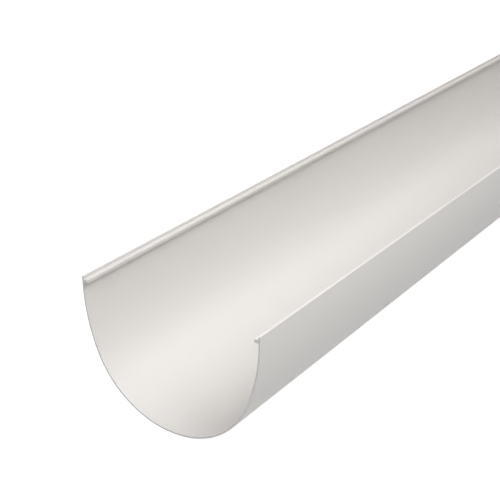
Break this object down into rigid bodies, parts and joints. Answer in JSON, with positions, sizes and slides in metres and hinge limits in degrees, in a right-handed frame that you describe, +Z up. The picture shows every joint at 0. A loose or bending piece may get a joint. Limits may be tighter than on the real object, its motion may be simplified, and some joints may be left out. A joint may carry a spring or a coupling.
{
  "type": "gutter section",
  "caption": "Straight length of deep plastic rainwater gutter: an open trough with a round bottom, flatter sides, a thin wall and a small square lip inside each rim.",
  "frame": {"origin": "midway along the gutter, at the lowest line of its underside", "axes": "+X along the length, +Y across from one rim to the other, +Z up out of the open top"},
  "size_m": [2, 0.18, 0.12],
  "materials": {
    "extruded_pvc": "satin"
  },
  "bodies": {
    "root": {"gutter_section": "extruded_pvc"}
  },
  "joints": []
}
